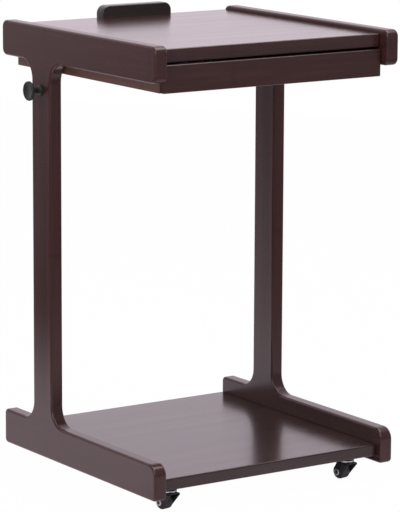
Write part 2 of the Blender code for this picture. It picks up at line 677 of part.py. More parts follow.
def caster_fork(name, place, parent, pin_hole):
    """Pressed fork: a bent sheet channel trimmed to two tapered arms that trail to the axle."""
    low = AXLE_Z - FORK_EYE_RADIUS - CUT_PAST
    outer_bend = FORK_BEND + FORK_SHEET
    channel = [
        (-FORK_OUTER_X, low, 0), (-FORK_INNER_X, low, 0),
        (-FORK_INNER_X, CROWN_BOTTOM, FORK_BEND), (FORK_INNER_X, CROWN_BOTTOM, FORK_BEND),
        (FORK_INNER_X, low, 0), (FORK_OUTER_X, low, 0),
        (FORK_OUTER_X, CROWN_TOP, outer_bend), (-FORK_OUTER_X, CROWN_TOP, outer_bend),
    ]
    sheet_length = 2 * (CASTER_TRAIL + FORK_CROWN_LENGTH)
    fork = slab(f"{name}_fork", channel, sheet_length, STAND_XZ, BLACK_METAL, parent)
    half = FORK_CROWN_LENGTH / 2
    shoulder = CROWN_BOTTOM - FORK_SHEET
    trim = [
        (-half, CROWN_TOP + CUT_PAST, 0), (-half, shoulder, FORK_SHEET),
        (CASTER_TRAIL - FORK_EYE_RADIUS, AXLE_Z - FORK_EYE_RADIUS, FORK_EYE_RADIUS / 2),
        (CASTER_TRAIL + FORK_EYE_RADIUS, AXLE_Z - FORK_EYE_RADIUS, FORK_EYE_RADIUS),
        (CASTER_TRAIL + FORK_EYE_RADIUS, AXLE_Z + FORK_EYE_RADIUS, FORK_SHEET),
        (half, shoulder, FORK_SHEET), (half, CROWN_TOP + CUT_PAST, 0),
    ]
    trimmer = slab(f"{name}_fork_trim", trim, 3 * FORK_OUTER_X, place @ STAND_YZ, cutter=True)
    boolean(fork, trimmer, "INTERSECT")
    boolean(fork, pin_hole)
    axle_place = place @ aim(Vector((0, CASTER_TRAIL, AXLE_Z)), X_AXIS)
    axle_hole = turned_mesh(f"{name}_axle_hole", peg_profile(AXLE_RADIUS, 3 * FORK_OUTER_X, FIT), PIN_STEPS)
    boolean(fork, tool(f"{name}_axle_hole", axle_hole, [axle_place]))


def caster_pins(name, place, parent):
    """Kingpin riveted into the plate, and the axle, a hollow rivet through the fork's eyes."""
    head = PLATE_TOP - KINGPIN_HEAD_HEIGHT
    foot = CROWN_BOTTOM - FIT
    kingpin_profile = [
        (0.0, PLATE_TOP), (KINGPIN_HEAD_RADIUS, PLATE_TOP), (KINGPIN_HEAD_RADIUS, head),
        (KINGPIN_RADIUS, head), (KINGPIN_RADIUS, foot), (KINGPIN_HEAD_RADIUS, foot),
        (KINGPIN_HEAD_RADIUS, foot - KINGPIN_HEAD_HEIGHT), (0.0, foot - KINGPIN_HEAD_HEIGHT),
    ]
    turned(f"{name}_kingpin", kingpin_profile, PIN_STEPS, place, ZINC)
    face = FORK_OUTER_X + FIT
    end = face + AXLE_HEAD_HEIGHT
    dimple = end - AXLE_DIMPLE_DEPTH
    crown = (AXLE_DIMPLE_RADIUS + AXLE_HEAD_RADIUS) / 2
    upper = [
        (0.0, dimple), (AXLE_DIMPLE_RADIUS, dimple), (AXLE_DIMPLE_RADIUS, end), (crown, end),
        (AXLE_HEAD_RADIUS, face), (AXLE_RADIUS, face),
    ]
    axle_profile = upper + [(radius, -height) for radius, height in reversed(upper)]
    axle_place = aim(Vector((0, CASTER_TRAIL, AXLE_Z)), X_AXIS)
    turned(f"{name}_axle", axle_profile, PIN_STEPS, axle_place, ZINC, parent)


def caster_wheel(name, parent):
    """Rubber tyre with round shoulders on a rimmed hub, both centred on the axle."""
    place = aim(Vector((0, CASTER_TRAIL, AXLE_Z)), X_AXIS)
    tread = WHEEL_DIAMETER / 2 - TYRE_SHOULDER
    half = TYRE_WIDTH / 2
    tyre_profile = [
        (HUB_RADIUS + FIT, half),
        *quarter_arc(tread, half - TYRE_SHOULDER, TYRE_SHOULDER, 90),
        *quarter_arc(tread, -half + TYRE_SHOULDER, TYRE_SHOULDER, 0),
        (HUB_RADIUS + FIT, -half),
    ]
    turned(f"{name}_tyre", tyre_profile, WHEEL_STEPS, place, RUBBER, parent, ring=True)
    bore = AXLE_RADIUS + FIT
    rim = HUB_RADIUS - HUB_RIM
    floor = HUB_HALF_WIDTH - HUB_RECESS
    upper = [
        (bore, HUB_HALF_WIDTH), (HUB_BOSS_RADIUS, HUB_HALF_WIDTH), (HUB_BOSS_RADIUS, floor),
        (rim, floor), (rim, half), (HUB_RADIUS, half),
    ]
    hub_profile = upper + [(radius, -height) for radius, height in reversed(upper)]
    turned(f"{name}_hub", hub_profile, WHEEL_STEPS, place, HUB_METAL, parent, ring=True)


front_row_y = PANEL_FRONT_Y + CASTER_FROM_EDGE
back_row_y = PANEL_BACK_Y - CASTER_FROM_EDGE
caster_places = {
    "front_left": (-CASTER_X, front_row_y, FRONT_LEFT_TURN),
    "front_right": (CASTER_X, front_row_y, FRONT_RIGHT_TURN),
    "back_left": (-CASTER_X, back_row_y, BACK_LEFT_TURN),
    "back_right": (CASTER_X, back_row_y, BACK_RIGHT_TURN),
}
for corner, (x, y, turn) in caster_places.items():
    caster = f"{corner}_caster"
    place = Matrix.Translation((x, y, 0))
    pin_tool = caster_plate(caster, place)
    turned_place = place @ Matrix.Rotation(radians(turn), 4, "Z")
    swivel = pivot(f"{caster}_swivel", turned_place)
    caster_fork(caster, turned_place, swivel, pin_tool)
    caster_pins(caster, place, swivel)
    caster_wheel(caster, swivel)
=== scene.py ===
"""Finished surfaces of a c-shaped end table on casters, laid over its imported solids.

The sections follow the table as it is put together: side frames, top and base panel, ledge, runners,
dowels, drawer, hook and casters, then the studio around it. Metres, +Z up, the drawer opens towards -Y.
"""
import json
from math import cos, pi, radians, sin

import bmesh
import bpy
from mathutils import Matrix, Vector


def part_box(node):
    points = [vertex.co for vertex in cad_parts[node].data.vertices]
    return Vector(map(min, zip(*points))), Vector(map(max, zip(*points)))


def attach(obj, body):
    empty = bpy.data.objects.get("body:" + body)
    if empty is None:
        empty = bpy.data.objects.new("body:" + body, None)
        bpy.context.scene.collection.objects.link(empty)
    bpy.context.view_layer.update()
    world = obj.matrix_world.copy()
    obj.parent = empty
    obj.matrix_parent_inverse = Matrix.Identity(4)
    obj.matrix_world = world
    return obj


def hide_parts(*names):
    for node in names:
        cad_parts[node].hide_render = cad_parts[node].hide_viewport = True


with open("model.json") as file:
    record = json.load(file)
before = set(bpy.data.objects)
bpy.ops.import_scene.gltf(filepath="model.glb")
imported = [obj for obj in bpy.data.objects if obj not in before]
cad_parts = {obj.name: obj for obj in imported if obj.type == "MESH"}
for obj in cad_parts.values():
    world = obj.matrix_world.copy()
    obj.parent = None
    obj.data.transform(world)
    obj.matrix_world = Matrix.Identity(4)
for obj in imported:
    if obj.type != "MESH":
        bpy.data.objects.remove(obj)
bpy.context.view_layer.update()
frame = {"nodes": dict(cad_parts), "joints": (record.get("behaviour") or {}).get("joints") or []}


# Side frames. Each is a flat C of solid bamboo boards, doweled and glued end to end: a cheek beside the
# top, a leg, and a base rail. The inner corners are sawn to a wide sweep and a router rounds the long
# edges. The joints are filled and sanded flush, then the whole frame is stained and sprayed.

ROUND_OVER = 0.0035
SWEEP = 0.028
SEAM_TO_BAR = 0.030
CHEEK_CORNER = 0.010
RAIL_CORNER = 0.0065
RAIL_NOSE = 0.017
NEAR = 0.00005


def start_block(name, low, high):
    """Block between two corners of the table, left open in edit mode with all of it selected."""
    bpy.ops.object.select_all(action="DESELECT")
    bpy.ops.mesh.primitive_cube_add(size=1, location=(Vector(low) + Vector(high)) / 2)
    block = bpy.context.object
    block.name = name
    block.data.name = name
    block.scale = Vector(high) - Vector(low)
    bpy.ops.object.transform_apply(location=True, rotation=True, scale=True)
    bpy.ops.object.mode_set(mode="EDIT")
    return block


def pick(kind, wanted):
    """Select those edges or faces of the open mesh that are wanted, and nothing else."""
    bpy.ops.mesh.select_mode(type=kind)
    bpy.ops.mesh.select_all(action="DESELECT")
    mesh = bpy.context.edit_object.data
    shape = bmesh.from_edit_mesh(mesh)
    for item in shape.faces if kind == "FACE" else shape.edges:
        if wanted(item):
            item.select_set(True)
    bmesh.update_edit_mesh(mesh)


def middle(item):
    """Mean place of an edge's or a face's corners."""
    return sum((corner.co for corner in item.verts), Vector()) / len(item.verts)


def runs_along(edge, axis):
    """Whether an edge is parallel to an axis, 0, 1 or 2."""
    span = edge.verts[1].co - edge.verts[0].co
    return abs(span[axis]) > 0.999 * span.length


def is_crease(edge):
    """Whether the two faces at an edge stand at a steep angle."""
    return edge.calc_face_angle(0.0) > radians(60)


def close_piece(piece, rub_axes=()):
    """Leave edit mode with smooth rounded edges and flat faces.

    The lacquer is thinnest where an edge is rounded, so each point keeps how far its normal leans
    between the rub axes and the others, 1 at the middle of a rounded edge.
    """
    bpy.ops.object.mode_set(mode="OBJECT")
    bpy.ops.object.shade_smooth_by_angle(angle=radians(40))
    if rub_axes:
        rubbed = piece.data.attributes.new("rubbed", "FLOAT", "POINT")
        for point, value in zip(piece.data.vertices, rubbed.data):
            facing = max(point.normal[axis] ** 2 for axis in rub_axes)
            value.value = 4 * facing * (1 - facing)
    weighted = piece.modifiers.new("flat_faces", "WEIGHTED_NORMAL")
    weighted.keep_sharp = True
    bpy.ops.object.modifier_apply(modifier=weighted.name)
    return piece


def copy_of(piece, name, shift, turn=0.0):
    """Separate copy of a piece, turned about the upright through the origin and then shifted."""
    bpy.ops.object.select_all(action="DESELECT")
    piece.select_set(True)
    bpy.context.view_layer.objects.active = piece
    bpy.ops.object.duplicate()
    twin = bpy.context.object
    twin.name = name
    twin.data.name = name
    twin.rotation_euler = (0, 0, turn)
    twin.location = shift
    bpy.ops.object.transform_apply(location=True, rotation=True, scale=True)
    return twin


left_leg_low, left_leg_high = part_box("left_leg")


def sawn_board(node, bar_z, seam_z, corners):
    """Bar with a stub for the leg: sweeps beside the stub, round ends, and a routed edge all round."""
    low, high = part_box(node)
    board = start_block(node + "_board", (low.x, low.y, min(bar_z)), (high.x, high.y, max(bar_z)))
    for leg_y in (left_leg_low.y, left_leg_high.y):
        bpy.ops.mesh.select_all(action="SELECT")
        bpy.ops.mesh.bisect(plane_co=(0, leg_y, 0), plane_no=(0, 1, 0))
    stub_z = min(bar_z, key=lambda level: abs(level - seam_z))
    pick("FACE", lambda face: abs(middle(face).z - stub_z) < NEAR
         and left_leg_low.y < middle(face).y < left_leg_high.y)
    bpy.ops.mesh.extrude_region_move(TRANSFORM_OT_translate={"value": (0, 0, seam_z - stub_z)})
    bpy.ops.mesh.select_all(action="SELECT")
    bpy.ops.mesh.dissolve_limited(angle_limit=radians(0.5))
    pick("EDGE", lambda edge: runs_along(edge, 0) and abs(middle(edge).z - stub_z) < NEAR
         and min(abs(middle(edge).y - leg_y) for leg_y in (left_leg_low.y, left_leg_high.y)) < NEAR)
    bpy.ops.mesh.bevel(offset=SWEEP, segments=14, affect="EDGES")
    for end_y, end_z, radius in corners:
        pick("EDGE", lambda edge: runs_along(edge, 0) and abs(middle(edge).y - end_y) < NEAR
             and abs(middle(edge).z - end_z) < NEAR)
        bpy.ops.mesh.bevel(offset=radius, segments=8, affect="EDGES")
    pick("EDGE", lambda edge: is_crease(edge) and abs(edge.verts[0].co.x - edge.verts[1].co.x) < NEAR
         and abs(middle(edge).z - seam_z) > NEAR)
    bpy.ops.mesh.bevel(offset=ROUND_OVER, segments=5, affect="EDGES")
    return close_piece(board, (0,))


cheek_low, cheek_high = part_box("left_cheek")
cheek_bottom = cheek_low.z + SEAM_TO_BAR
cheek_corners = [
    (y, z, CHEEK_CORNER) for y in (cheek_low.y, cheek_high.y) for z in (cheek_bottom, cheek_high.z)
]
left_cheek_board = sawn_board("left_cheek", (cheek_bottom, cheek_high.z), cheek_low.z, cheek_corners)

rail_low, rail_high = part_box("left_base_rail")
rail_top = rail_high.z - SEAM_TO_BAR
rail_corners = [
    (rail_low.y, rail_low.z, RAIL_CORNER), (rail_high.y, rail_low.z, RAIL_CORNER),
    (rail_high.y, rail_top, RAIL_CORNER), (rail_low.y, rail_top, RAIL_NOSE),
]
left_rail_board = sawn_board("left_base_rail", (rail_low.z, rail_top), rail_high.z, rail_corners)

leg_from = (left_leg_low.x, left_leg_low.y, rail_high.z)
leg_to = (left_leg_high.x, left_leg_high.y, cheek_low.z)
left_leg_board = start_block("left_leg_board", leg_from, leg_to)
pick("EDGE", lambda edge: runs_along(edge, 2))
bpy.ops.mesh.bevel(offset=ROUND_OVER, segments=5, affect="EDGES")
close_piece(left_leg_board, (0,))

to_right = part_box("right_leg")[0] - left_leg_low
right_cheek_board = copy_of(left_cheek_board, "right_cheek_board", to_right)
right_rail_board = copy_of(left_rail_board, "right_base_rail_board", to_right)
right_leg_board = copy_of(left_leg_board, "right_leg_board", to_right)


def tone(code):
    """Linear colour of an sRGB hex code."""
    channels = [int(code[place:place + 2], 16) / 255 for place in (1, 3, 5)]
    return (*[c / 12.92 if c <= 0.04045 else ((c + 0.055) / 1.055) ** 2.4 for c in channels], 1.0)


def add_node(tree, kind, settings=None, links=None):
    """One shader node, with its settings made and its inputs linked from other nodes' outputs."""
    made = tree.nodes.new(kind)
    for key, value in (settings or {}).items():
        if isinstance(key, str) and hasattr(made, key):
            setattr(made, key, value)
        else:
            made.inputs[key].default_value = value
    for key, output in (links or {}).items():
        tree.links.new(output, made.inputs[key])
    return made


def new_material(name):
    """Empty node material with its output, and the tree to build it in."""
    made = bpy.data.materials.new(name)
    made.use_nodes = True
    made.node_tree.nodes.clear()
    return made, made.node_tree


# Lacquered bamboo: strips pressed flat into boards, stained espresso brown and sprayed with a clear satin
# lacquer. The eye gets a nearly black brown with faint strips and fibres, a soft wide reflection that turns
# pale at a low angle, and a redder line along the rounded edges, where the stain is sanded thin.

STRIP_WIDTH = 0.020
STRIP_NODE_SPACING = 0.270
STRIP_NODE_REACH = 0.005
STRIP_NODE_SHADE = 0.22
STRIP_NODE_STAIN = "#241512"
# Real fibres are about 0.5 mm wide, and are drawn 2.4 mm wide so that they show at all
FIBRE_WIDTH = 0.0024
FIBRE_LENGTH = 0.110
# How much fibres, clouds and whole strips add to the tone of the stain
FIBRE_SHARE = 0.45
CLOUD_SHARE = 0.30
STRIP_SHARE = 0.25
STAIN_LOW = 0.30
STAIN_HIGH = 0.70
WORN_STAIN = "#55302A"
WORN_SHARE = 0.08
LACQUER_IOR = 1.58
COAT_ROUGHNESS = 0.15
SMOOTHER_BY = 0.04
DULLER_BY = 0.05
ORANGE_PEEL = 0.003
FIBRE_RELIEF = 0.5
RELIEF_DEPTH = 0.0002
RELIEF_STRENGTH = 0.06


def lacquered_bamboo(name, turn, dark, light, roughness, coat):
    """Stained and lacquered bamboo whose grain runs along X after a turn of the pattern."""
    made, tree = new_material(name)
    place = add_node(tree, "ShaderNodeTexCoord")
    along = add_node(tree, "ShaderNodeMapping", {"Rotation": turn}, {"Vector": place.outputs["Object"]})
    split = add_node(tree, "ShaderNodeSeparateXYZ", None, {0: along.outputs[0]})
    strips = add_node(tree, "ShaderNodeMath", {"operation": "DIVIDE", 1: STRIP_WIDTH},
                      {0: split.outputs["Y"]})
    strip = add_node(tree, "ShaderNodeMath", {"operation": "FLOOR"}, {0: strips.outputs[0]})
    chance = add_node(tree, "ShaderNodeTexWhiteNoise", {"noise_dimensions": "1D"}, {"W": strip.outputs[0]})
    stretch = (1 / FIBRE_LENGTH, 1 / FIBRE_WIDTH, 1 / FIBRE_WIDTH)
    fibre_place = add_node(tree, "ShaderNodeMapping", {"Scale": stretch}, {"Vector": along.outputs[0]})
    fibre = add_node(tree, "ShaderNodeTexNoise", {"Scale": 1.0, "Detail": 3.0, "Roughness": 0.6},
                     {"Vector": fibre_place.outputs[0]})
    cloud_stretch = (1 / (4 * FIBRE_LENGTH), 1 / STRIP_WIDTH, 1 / STRIP_WIDTH)
    cloud_place = add_node(tree, "ShaderNodeMapping", {"Scale": cloud_stretch}, {"Vector": along.outputs[0]})
    cloud = add_node(tree, "ShaderNodeTexNoise", {"Scale": 1.0, "Detail": 2.0},
                     {"Vector": cloud_place.outputs[0]})
    tint = add_node(tree, "ShaderNodeMath", {"operation": "MULTIPLY", 1: CLOUD_SHARE}, {0: cloud.outputs[0]})
    board = add_node(tree, "ShaderNodeMath", {"operation": "MULTIPLY_ADD", 1: STRIP_SHARE},
                     {0: chance.outputs["Value"], 2: tint.outputs[0]})
    grain = add_node(tree, "ShaderNodeMath", {"operation": "MULTIPLY_ADD", 1: FIBRE_SHARE},
                     {0: fibre.outputs[0], 2: board.outputs[0]})
    stain = add_node(tree, "ShaderNodeMapRange", {"From Min": STAIN_LOW, "From Max": STAIN_HIGH},
                     {0: grain.outputs[0]})
    colour = add_node(tree, "ShaderNodeMix", {"data_type": "RGBA", 6: tone(dark), 7: tone(light)},
                      {0: stain.outputs[0]})
    slip = add_node(tree, "ShaderNodeMath", {"operation": "MULTIPLY_ADD", 1: STRIP_NODE_SPACING},
                    {0: chance.outputs["Value"], 2: split.outputs["X"]})
    wrap = add_node(tree, "ShaderNodeMath", {"operation": "PINGPONG", 1: STRIP_NODE_SPACING / 2},
                    {0: slip.outputs[0]})
    ring = add_node(tree, "ShaderNodeMapRange",
                    {"From Max": STRIP_NODE_REACH, "To Min": STRIP_NODE_SHADE, "To Max": 0.0},
                    {0: wrap.outputs[0]})
    ringed = add_node(tree, "ShaderNodeMix", {"data_type": "RGBA", 7: tone(STRIP_NODE_STAIN)},
                      {0: ring.outputs[0], 6: colour.outputs[2]})
    edge = add_node(tree, "ShaderNodeAttribute", {"attribute_name": "rubbed"})
    rub = add_node(tree, "ShaderNodeMath", {"operation": "MULTIPLY", 1: WORN_SHARE}, {0: edge.outputs["Fac"]})
    worn = add_node(tree, "ShaderNodeMix", {"data_type": "RGBA", 7: tone(WORN_STAIN)},
                    {0: rub.outputs[0], 6: ringed.outputs[2]})
    gloss = add_node(tree, "ShaderNodeMapRange",
                     {"To Min": roughness - SMOOTHER_BY, "To Max": roughness + DULLER_BY},
                     {0: cloud.outputs[0]})
    peel = add_node(tree, "ShaderNodeTexNoise", {"Scale": 1 / ORANGE_PEEL, "Detail": 1.0},
                    {"Vector": place.outputs["Object"]})
    relief = add_node(tree, "ShaderNodeMath", {"operation": "MULTIPLY_ADD", 1: FIBRE_RELIEF},
                      {0: fibre.outputs[0], 2: peel.outputs[0]})
    bump = add_node(tree, "ShaderNodeBump", {"Strength": RELIEF_STRENGTH, "Distance": RELIEF_DEPTH},
                    {"Height": relief.outputs[0]})
    shader = add_node(tree, "ShaderNodeBsdfPrincipled",
                      {"IOR": LACQUER_IOR, "Coat Weight": coat, "Coat Roughness": COAT_ROUGHNESS},
                      {"Base Color": worn.outputs[2], "Roughness": gloss.outputs[0],
                       "Normal": bump.outputs[0]})
    add_node(tree, "ShaderNodeOutputMaterial", None, {0: shader.outputs[0]})
    return made


ALONG_X = (0, 0, 0)
ALONG_Y = (0, 0, radians(-90))
ALONG_Z = (0, radians(90), 0)
ESPRESSO = {"dark": "#331F1D", "light": "#492D2A", "roughness": 0.22}
bamboo_deep = lacquered_bamboo("espresso_bamboo_front_to_back", ALONG_Y, coat=0.0, **ESPRESSO)
bamboo_upright = lacquered_bamboo("espresso_bamboo_upright", ALONG_Z, coat=0.0, **ESPRESSO)
for side, cheek, leg, rail in (
    ("left", left_cheek_board, left_leg_board, left_rail_board),
    ("right", right_cheek_board, right_leg_board, right_rail_board),
):
    cheek.data.materials.append(bamboo_deep)
    rail.data.materials.append(bamboo_deep)
    leg.data.materials.append(bamboo_upright)
    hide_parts(f"{side}_cheek")
    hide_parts(f"{side}_leg")
    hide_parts(f"{side}_base_rail")
    for board in (cheek, leg, rail):
        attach(board, "frame")


# Top board and base panel. Both are flat panels of the same lacquered bamboo with eased edges, held by
# dowels between the side frames. The top sits a little below the upper edges of the cheeks. The base panel
# is given a darker copy of the stain, which is painted shade for the shadow it lies in under the top.

PANEL_EDGE = 0.002
# A darker copy of the espresso stain, used on the base panel only: painted shade
SHADED_ESPRESSO = {"dark": "#281714", "light": "#39221F", "roughness": 0.24}
bamboo_across = lacquered_bamboo("espresso_bamboo_across", ALONG_X, coat=0.2, **ESPRESSO)
shaded_bamboo_base = lacquered_bamboo("deep_espresso_bamboo_across", ALONG_X, coat=0.34, **SHADED_ESPRESSO)
bamboo_top = lacquered_bamboo("polished_espresso_bamboo_across", ALONG_X, coat=0.56, **ESPRESSO)
for node, finish in (("top_board", bamboo_top), ("base_panel", shaded_bamboo_base)):
    panel = start_block(node + "_panel", *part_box(node))
    bpy.ops.mesh.bevel(offset=PANEL_EDGE, segments=4, affect="EDGES")
    close_piece(panel, (0, 1, 2))
    panel.data.materials.append(finish)
    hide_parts(node)
    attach(panel, "frame")


# Back ledge. A short strip of the same board with its upper corners sawn round and its edges eased. Its
# tongue is glued into a groove along the back edge of the top, where it keeps things from rolling off.

LEDGE_CORNER = 0.012
LEDGE_EDGE = 0.002
BLACK_ESPRESSO = {"dark": "#211C1B", "light": "#2E2726", "roughness": 0.25}
bamboo_ledge = lacquered_bamboo("black_espresso_bamboo_across", ALONG_X, coat=0.37, **BLACK_ESPRESSO)
ledge_low, ledge_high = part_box("back_ledge")
ledge_low.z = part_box("top_board")[1].z
ledge = start_block("back_ledge_strip", ledge_low, ledge_high)
pick("EDGE", lambda edge: runs_along(edge, 1) and abs(middle(edge).z - ledge_high.z) < NEAR)
bpy.ops.mesh.bevel(offset=LEDGE_CORNER, segments=10, affect="EDGES")
pick("EDGE", lambda edge: is_crease(edge) and abs(edge.verts[0].co.y - edge.verts[1].co.y) < NEAR
     and abs(middle(edge).z - ledge_low.z) > NEAR)
bpy.ops.mesh.bevel(offset=LEDGE_EDGE, segments=4, affect="EDGES")
close_piece(ledge, (1,))
ledge.data.materials.append(bamboo_ledge)
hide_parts("back_ledge")
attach(ledge, "frame")


# Drawer runners and stop cleat. Planed hardwood strips, stained but not sprayed, let into the cheeks or
# screwed up under the top. They keep their solids, and the drawer's sides polish them a little.

def stained_board(name, turn, dark, light, roughness):
    """Stained wood without lacquer: open fibres, dull, with a little more colour in it."""
    return lacquered_bamboo(name, turn, dark, light, roughness, 0.0)


def dress(node, finish):
    """Give a solid that stays in view its finished material."""
    frame["nodes"][node].data.materials.clear()
    frame["nodes"][node].data.materials.append(finish)


runner_wood = stained_board("stained_runner_strip", ALONG_Y, "#47291F", "#643F30", 0.42)
cleat_wood = stained_board("stained_cleat_strip", ALONG_X, "#47291F", "#643F30", 0.48)
dress("left_runner", runner_wood)
dress("right_runner", runner_wood)
dress("stop_cleat", cleat_wood)


# Dowels. Fluted beech pegs, glued and wholly hidden in the joints of the side frames and panels.

FLUTE_WIDTH = 0.0012
beech, beech_tree = new_material("raw_beech_peg")
beech_place = add_node(beech_tree, "ShaderNodeTexCoord")
beech_fleck = add_node(beech_tree, "ShaderNodeTexNoise", {"Scale": 1 / FLUTE_WIDTH, "Detail": 2.0},
                       {"Vector": beech_place.outputs["Object"]})
beech_colour = add_node(beech_tree, "ShaderNodeMix",
                        {"data_type": "RGBA", 6: tone("#B88E63"), 7: tone("#D2AE84")},
                        {0: beech_fleck.outputs[0]})
beech_bump = add_node(beech_tree, "ShaderNodeBump", {"Strength": 0.3, "Distance": 0.0003},
                      {"Height": beech_fleck.outputs[0]})
beech_shader = add_node(beech_tree, "ShaderNodeBsdfPrincipled", {"Roughness": 0.7},
                        {"Base Color": beech_colour.outputs[2], "Normal": beech_bump.outputs[0]})
add_node(beech_tree, "ShaderNodeOutputMaterial", None, {0: beech_shader.outputs[0]})
for node in frame["nodes"]:
    if "_dowel_" in node:
        dress(node, beech)


# Drawer. A shallow box the full depth of the top: a lacquered front rabbeted over two grooved sides, a back
# in dadoes, and a thin bottom board in grooves. It is pulled by the lower edge of its front.

DRAWER_EDGE = 0.002
REBATE_FIT = 0.0003
REBATE_PAST = 0.002


def cut_out(piece, low, high):
    """Saw a square recess between two corners of the table out of a piece."""
    cutter = start_block("cutter", low, high)
    bpy.ops.object.mode_set(mode="OBJECT")
    bpy.ops.object.select_all(action="DESELECT")
    bpy.context.view_layer.objects.active = piece
    cut = piece.modifiers.new("recess", "BOOLEAN")
    cut.object = cutter
    cut.solver = "EXACT"
    bpy.ops.object.modifier_apply(modifier=cut.name)
    bpy.data.objects.remove(cutter)


drawer_front = start_block("drawer_front_board", *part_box("drawer_front"))
bpy.ops.mesh.bevel(offset=DRAWER_EDGE, segments=4, affect="EDGES")
close_piece(drawer_front, (0, 1, 2))
for side in ("left", "right"):
    side_low, side_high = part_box(f"drawer_{side}_side")
    cut_out(drawer_front, side_low - Vector((REBATE_PAST, REBATE_FIT, REBATE_PAST)),
            side_high + Vector((REBATE_PAST, 0, REBATE_PAST)))
drawer_front.data.materials.append(bamboo_across)
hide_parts("drawer_front")
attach(drawer_front, "drawer")
drawer_side_wood = stained_board("stained_drawer_side", ALONG_Y, "#573A31", "#6E4C41", 0.32)
dress("drawer_left_side", drawer_side_wood)
dress("drawer_right_side", drawer_side_wood)
dress("drawer_back", bamboo_across)
dress("drawer_bottom", stained_board("stained_drawer_bottom", ALONG_X, "#42261E", "#5C392C", 0.5))


# Hanging hook. A peg turned from steel rod with a disc end, screwed through a small bell-shaped flange into
# the left leg, both coated satin black. The cutting tool leaves faint rings on the face of the disc.

def arc(radius, along, size, start, end, steps=6):
    """Points of an arc about (radius, along), from one angle to another in degrees."""
    angles = [radians(start + (end - start) * step / steps) for step in range(steps + 1)]
    return [(radius + size * cos(angle), along + size * sin(angle)) for angle in angles]


def lathe(name, outline, centre, axis, steps):
    """Outline of (radius, along) points, drawn point by point and spun about an axis through a centre."""
    axis = Vector(axis)
    across = axis.orthogonal().normalized()
    points = [Vector(centre) + across * radius + axis * along for radius, along in outline]
    bpy.ops.object.select_all(action="DESELECT")
    bpy.ops.mesh.primitive_plane_add(size=0.001, location=points[0])
    piece = bpy.context.object
    piece.name = name
    piece.data.name = name
    bpy.ops.object.mode_set(mode="EDIT")
    bpy.ops.mesh.select_mode(type="VERT")
    bpy.ops.mesh.merge(type="CENTER")
    for last, point in zip(points, points[1:]):
        bpy.ops.mesh.extrude_vertices_move(TRANSFORM_OT_translate={"value": point - last})
    bpy.ops.mesh.select_all(action="SELECT")
    bpy.ops.mesh.spin(steps=steps, angle=2 * pi, center=centre, axis=axis)
    bpy.ops.mesh.select_all(action="SELECT")
    bpy.ops.mesh.remove_doubles(threshold=0.00001)
    bpy.ops.mesh.normals_make_consistent(inside=False)
    bpy.ops.object.mode_set(mode="OBJECT")
    bpy.ops.object.transform_apply(location=True, rotation=True, scale=True)
    bpy.ops.object.shade_smooth_by_angle(angle=radians(32))
    return piece


HOOK_DISC_THICKNESS = 0.0044
HOOK_DISC_EDGE = 0.0016
HOOK_DISH_DEPTH = 0.0003
HOOK_DISH_FROM_RIM = 0.0020
HOOK_LIP_INSIDE = 0.0014
HOOK_LIP_OUTSIDE = 0.0004
HOOK_STEM_RADIUS = 0.0034
HOOK_STEM_FILLET = 0.0012
FLANGE_RADIUS = 0.0080
FLANGE_NECK_RADIUS = 0.0052
FLANGE_NECK_EDGE = 0.0006
FLANGE_MOUTH = 0.0004
FLANGE_LIP = 0.0016
FLANGE_FIT = 0.0001
hook_low, hook_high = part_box("hook_peg")
flange_low, flange_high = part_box("hook_flange")
hook_end = Vector((hook_low.x, (hook_low.y + hook_high.y) / 2, (hook_low.z + hook_high.z) / 2))
stem_end = flange_high.x - hook_low.x
rim = (hook_high.z - hook_low.z) / 2 - HOOK_DISC_EDGE
hook_outline = [
    (0.0, HOOK_DISH_DEPTH), (rim - HOOK_DISH_FROM_RIM, HOOK_DISH_DEPTH),
    (rim - HOOK_LIP_INSIDE, 0.0), (rim - HOOK_LIP_OUTSIDE, 0.0),
    *arc(rim, HOOK_DISC_EDGE, HOOK_DISC_EDGE, -90, 0),
    *arc(rim, HOOK_DISC_THICKNESS - HOOK_DISC_EDGE, HOOK_DISC_EDGE, 0, 90),
    *arc(HOOK_STEM_RADIUS + HOOK_STEM_FILLET, HOOK_DISC_THICKNESS + HOOK_STEM_FILLET,
         HOOK_STEM_FILLET, 270, 180),
    (HOOK_STEM_RADIUS, stem_end), (0.0, stem_end),
]
hook = lathe("hook_peg_turned", hook_outline, hook_end, (1, 0, 0), 64)
flange_end = Vector((flange_low.x, hook_end.y, hook_end.z))
flange_height = flange_high.x - flange_low.x
bell = FLANGE_RADIUS - FLANGE_NECK_RADIUS
flange_bore = HOOK_STEM_RADIUS + FLANGE_FIT
neck_flat = FLANGE_NECK_RADIUS - FLANGE_NECK_EDGE
flange_outline = [
    (flange_bore, FLANGE_MOUTH), (neck_flat, 0.0),
    *arc(neck_flat, FLANGE_NECK_EDGE, FLANGE_NECK_EDGE, -90, 0, 3),
    *arc(FLANGE_NECK_RADIUS + bell, flange_height - FLANGE_LIP - bell, bell, 180, 90),
    (FLANGE_RADIUS, flange_height), (flange_bore, flange_height),
]
flange = lathe("hook_flange_turned", flange_outline, flange_end, (1, 0, 0), 64)

